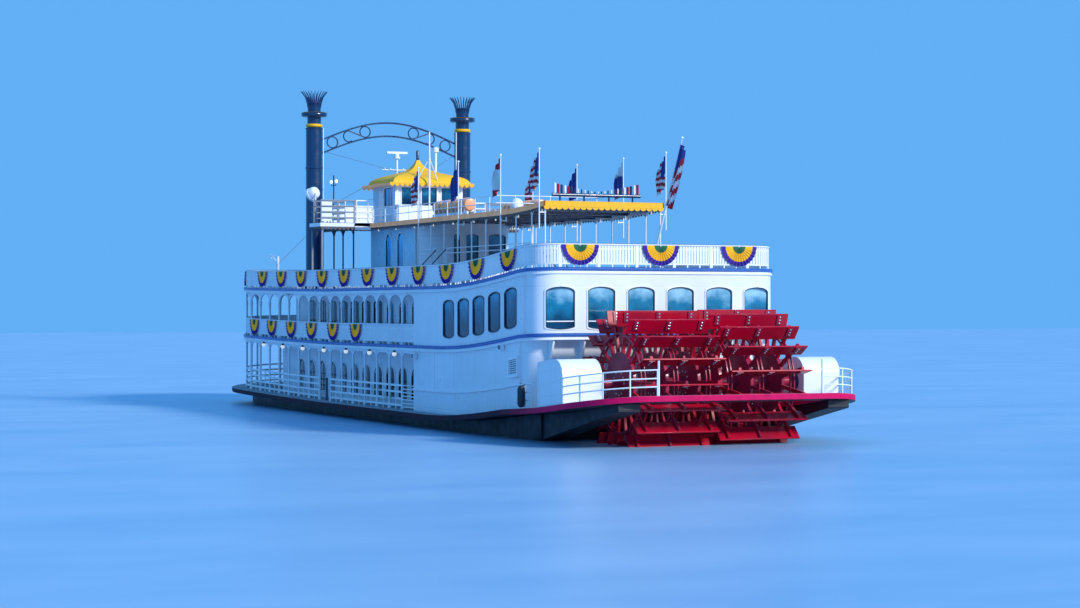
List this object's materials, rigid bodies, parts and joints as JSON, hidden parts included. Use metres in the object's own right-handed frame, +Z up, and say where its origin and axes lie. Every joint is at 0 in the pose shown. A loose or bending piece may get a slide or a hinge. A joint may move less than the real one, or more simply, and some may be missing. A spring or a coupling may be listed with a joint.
{
  "type": "1:2 scale model paddle steamer",
  "caption": "Sternwheel river steamer with three decks, twin chimneys, pilothouse and a red paddle wheel at the stern, as a 1:2 scale model.",
  "frame": {"origin": "on the hull's flat bottom, under the middle of the boat's length and beam", "axes": "+X forward to the bow, +Y to port, +Z up"},
  "size_m": [29, 6.9, 10.1676],
  "materials": {
    "hull_black": "satin",
    "fantail_red": "satin",
    "deck_paint": "matt",
    "house_white": "satin",
    "trim_white": "satin",
    "texas_blue": "satin",
    "chimney_navy": "gloss",
    "roof_yellow": "satin",
    "wheel_red": "satin",
    "steel": "satin",
    "raft_orange": "gloss",
    "dome_plastic": "gloss",
    "window_glass": "polished",
    "bunting_cloth": "woven",
    "flag_cloth": "woven"
  },
  "bodies": {
    "vessel": {"hull": "hull_black", "main_deck": "fantail_red", "saloon_deck": "deck_paint", "promenade_deck": "deck_paint", "hurricane_deck": "trim_white", "main_house_port_wall": "house_white", "main_house_starboard_wall": "house_white", "main_house_stern_wall": "house_white", "main_house_front_wall": "house_white", "saloon_port_wall": "house_white", "saloon_starboard_wall": "house_white", "saloon_stern_wall": "house_white", "saloon_front_wall": "house_white", "texas_walls": "texas_blue", "texas_aft_wall": "house_white", "pilothouse_walls": "texas_blue", "pilothouse_roof": "roof_yellow", "main_colonnade_port": "trim_white", "main_colonnade_starboard": "trim_white", "main_colonnade_bow": "trim_white", "saloon_arcade_port": "trim_white", "saloon_arcade_starboard": "trim_white", "saloon_arcade_bow": "trim_white", "promenade_rail_port": "trim_white", "promenade_rail_starboard": "trim_white", "promenade_rail_bow": "trim_white", "promenade_rail_stern": "trim_white", "awning_posts_port": "trim_white", "awning_posts_starboard": "trim_white", "bridge_deck_posts_port": "chimney_navy", "bridge_deck_posts_starboard": "chimney_navy", "bridge_deck_rail": "trim_white", "awning_rail": "trim_white", "fantail_rail_port": "trim_white", "fantail_rail_starboard": "trim_white", "chimney_port": "chimney_navy", "chimney_starboard": "chimney_navy", "chimney_arch": "chimney_navy", "wheel_housing_port": "house_white", "wheel_housing_starboard": "house_white", "calliope": "chimney_navy", "signal_mast": "trim_white", "whistle_mast": "trim_white", "raft_row_port": "raft_orange", "raft_row_starboard": "raft_orange", "antenna_dome": "dome_plastic", "davit_post_port": "trim_white", "davit_post_starboard": "trim_white"},
    "paddle_wheel": {"wheel_shaft": "steel", "wheel_half_port": "wheel_red", "wheel_half_starboard": "wheel_red"},
    "rudder_port_body": {"rudder_port": "hull_black"},
    "rudder_starboard_body": {"rudder_starboard": "hull_black"},
    "radar_scanner_body": {"radar_scanner": "trim_white"},
    "pilothouse_door_port_body": {"pilothouse_door_port": "house_white"},
    "pilothouse_door_starboard_body": {"pilothouse_door_starboard": "house_white"},
    "davit_arm_port_body": {"davit_arm_port": "trim_white"},
    "davit_arm_starboard_body": {"davit_arm_starboard": "trim_white"}
  },
  "joints": [
    {"name": "wheel_turn", "type": "hinge", "parent": "vessel", "child": "paddle_wheel", "pos_m": [-12.385, 0, 2.26], "axis": [0, 1, 0], "continuous": true},
    {"name": "rudder_port_turn", "type": "hinge", "parent": "vessel", "child": "rudder_port_body", "pos_m": [-10.6, 1.25, 0.85], "axis": [0, 0, 1], "range_deg": [-35, 35]},
    {"name": "rudder_starboard_turn", "type": "hinge", "parent": "vessel", "child": "rudder_starboard_body", "pos_m": [-10.6, -1.25, 0.85], "axis": [0, 0, 1], "range_deg": [-35, 35]},
    {"name": "radar_turn", "type": "hinge", "parent": "vessel", "child": "radar_scanner_body", "pos_m": [6.15, 0, 8.3], "axis": [0, 0, 1], "continuous": true},
    {"name": "pilothouse_door_port_swing", "type": "hinge", "parent": "vessel", "child": "pilothouse_door_port_body", "pos_m": [4.503, 1.025, 6.65], "axis": [0, 0, 1], "range_deg": [0, 100]},
    {"name": "pilothouse_door_starboard_swing", "type": "hinge", "parent": "vessel", "child": "pilothouse_door_starboard_body", "pos_m": [4.503, -1.025, 6.65], "axis": [0, 0, -1], "range_deg": [0, 100]},
    {"name": "davit_port_slew", "type": "hinge", "parent": "vessel", "child": "davit_arm_port_body", "pos_m": [11.45, 1.95, 5.25], "axis": [0, 0, 1], "range_deg": [-60, 90]},
    {"name": "davit_starboard_slew", "type": "hinge", "parent": "vessel", "child": "davit_arm_starboard_body", "pos_m": [11.45, -1.95, 5.25], "axis": [0, 0, -1], "range_deg": [-60, 90]}
  ],
  "couplings": [
    {"joint": "rudder_starboard_turn", "follows": "rudder_port_turn", "ratio": 1}
  ]
}
